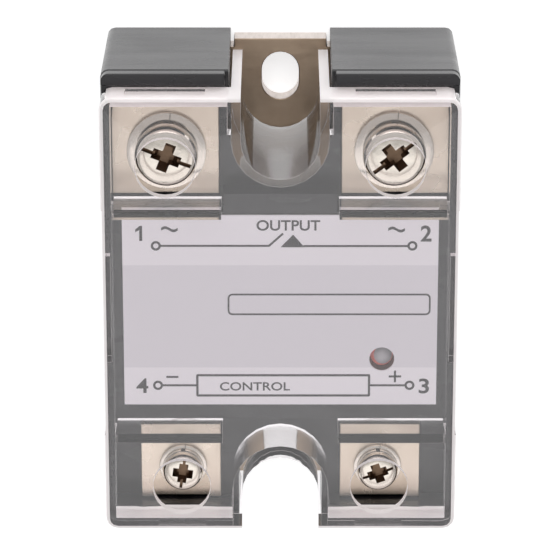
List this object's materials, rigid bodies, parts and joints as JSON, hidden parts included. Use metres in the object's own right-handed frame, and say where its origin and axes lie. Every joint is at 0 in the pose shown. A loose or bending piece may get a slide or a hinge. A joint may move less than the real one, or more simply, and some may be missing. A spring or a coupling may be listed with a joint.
{
  "type": "solid state relay",
  "caption": "Flat rectangular panel-mount relay on a metal base plate, with screw terminals at both ends under a clear clip-on cover and U-shaped bolt wells.",
  "frame": {"origin": "middle of the base plate's underside, under the centre of the bounding box", "axes": "+X across the relay to the side of terminals 2 and 3, +Y along it to the output terminals, +Z from the mounting surface out through the label"},
  "size_m": [0.045, 0.062, 0.0261],
  "materials": {
    "black_plastic": "moulded black PBT, satin",
    "clear_plastic": "clear polycarbonate",
    "nickel_plated_metal": "nickel plated, satin",
    "plated_steel": "bright nickel-plated steel",
    "brass": "plain brass",
    "label_film": "printed polyester film",
    "board_laminate": "glass-epoxy laminate",
    "white_ceramic": "alumina plate",
    "black_epoxy": "moulded epoxy case",
    "red_lamp_lens": "tinted diffused lens",
    "film_capacitor_case": "dipped film capacitor",
    "resistor_coat": "resistor lacquer",
    "potting_resin": "cast resin"
  },
  "bodies": {
    "relay": {"base_plate": "nickel_plated_metal", "housing": "black_plastic", "label_plate": "label_film", "output_terminal_1": "nickel_plated_metal", "output_terminal_2": "nickel_plated_metal", "control_terminal_3": "nickel_plated_metal", "control_terminal_4": "nickel_plated_metal", "threaded_insert_1": "brass", "threaded_insert_2": "brass", "threaded_insert_3": "brass", "threaded_insert_4": "brass", "circuit_board": "board_laminate", "ceramic_insulator": "white_ceramic", "thyristor_1": "black_epoxy", "thyristor_2": "black_epoxy", "optocoupler": "black_epoxy", "control_ic": "black_epoxy", "snubber_capacitor": "film_capacitor_case", "snubber_resistor": "resistor_coat", "gate_resistor_1": "resistor_coat", "gate_resistor_2": "resistor_coat", "input_diode": "black_epoxy", "status_led": "red_lamp_lens", "potting_resin": "potting_resin"},
    "cover_body": {"cover": "clear_plastic"},
    "washers_1": {"flat_washer_1": "plated_steel", "spring_washer_1": "plated_steel"},
    "screw_1": {"terminal_screw_1": "plated_steel"},
    "washers_2": {"flat_washer_2": "plated_steel", "spring_washer_2": "plated_steel"},
    "screw_2": {"terminal_screw_2": "plated_steel"},
    "washers_3": {"flat_washer_3": "plated_steel", "spring_washer_3": "plated_steel"},
    "screw_3": {"terminal_screw_3": "plated_steel"},
    "washers_4": {"flat_washer_4": "plated_steel", "spring_washer_4": "plated_steel"},
    "screw_4": {"terminal_screw_4": "plated_steel"}
  },
  "joints": [
    {"name": "cover_lift", "type": "slide", "parent": "relay", "child": "cover_body", "axis": [0, 0, 1], "range_m": [0, 0.03]},
    {"name": "washer_rise_1", "type": "slide", "parent": "relay", "child": "washers_1", "axis": [0, 0, 1], "range_m": [0, 0.0021]},
    {"name": "screw_turn_1", "type": "hinge", "parent": "washers_1", "child": "screw_1", "pos_m": [-0.01435, 0.01985, 0.0195], "axis": [0, 0, 1], "range_deg": [0, 1080]},
    {"name": "washer_rise_2", "type": "slide", "parent": "relay", "child": "washers_2", "axis": [0, 0, 1], "range_m": [0, 0.0021]},
    {"name": "screw_turn_2", "type": "hinge", "parent": "washers_2", "child": "screw_2", "pos_m": [0.01435, 0.01985, 0.0195], "axis": [0, 0, 1], "range_deg": [0, 1080]},
    {"name": "washer_rise_3", "type": "slide", "parent": "relay", "child": "washers_3", "axis": [0, 0, 1], "range_m": [0, 0.002]},
    {"name": "screw_turn_3", "type": "hinge", "parent": "washers_3", "child": "screw_3", "pos_m": [0.01265, -0.023, 0.0195], "axis": [0, 0, 1], "range_deg": [0, 1440]},
    {"name": "washer_rise_4", "type": "slide", "parent": "relay", "child": "washers_4", "axis": [0, 0, 1], "range_m": [0, 0.002]},
    {"name": "screw_turn_4", "type": "hinge", "parent": "washers_4", "child": "screw_4", "pos_m": [-0.01265, -0.023, 0.0195], "axis": [0, 0, 1], "range_deg": [0, 1440]}
  ],
  "couplings": [
    {"joint": "screw_turn_1", "follows": "washer_rise_1", "rad_per_m": 8975},
    {"joint": "screw_turn_2", "follows": "washer_rise_2", "rad_per_m": 8975},
    {"joint": "screw_turn_3", "follows": "washer_rise_3", "rad_per_m": 12566},
    {"joint": "screw_turn_4", "follows": "washer_rise_4", "rad_per_m": 12566}
  ]
}
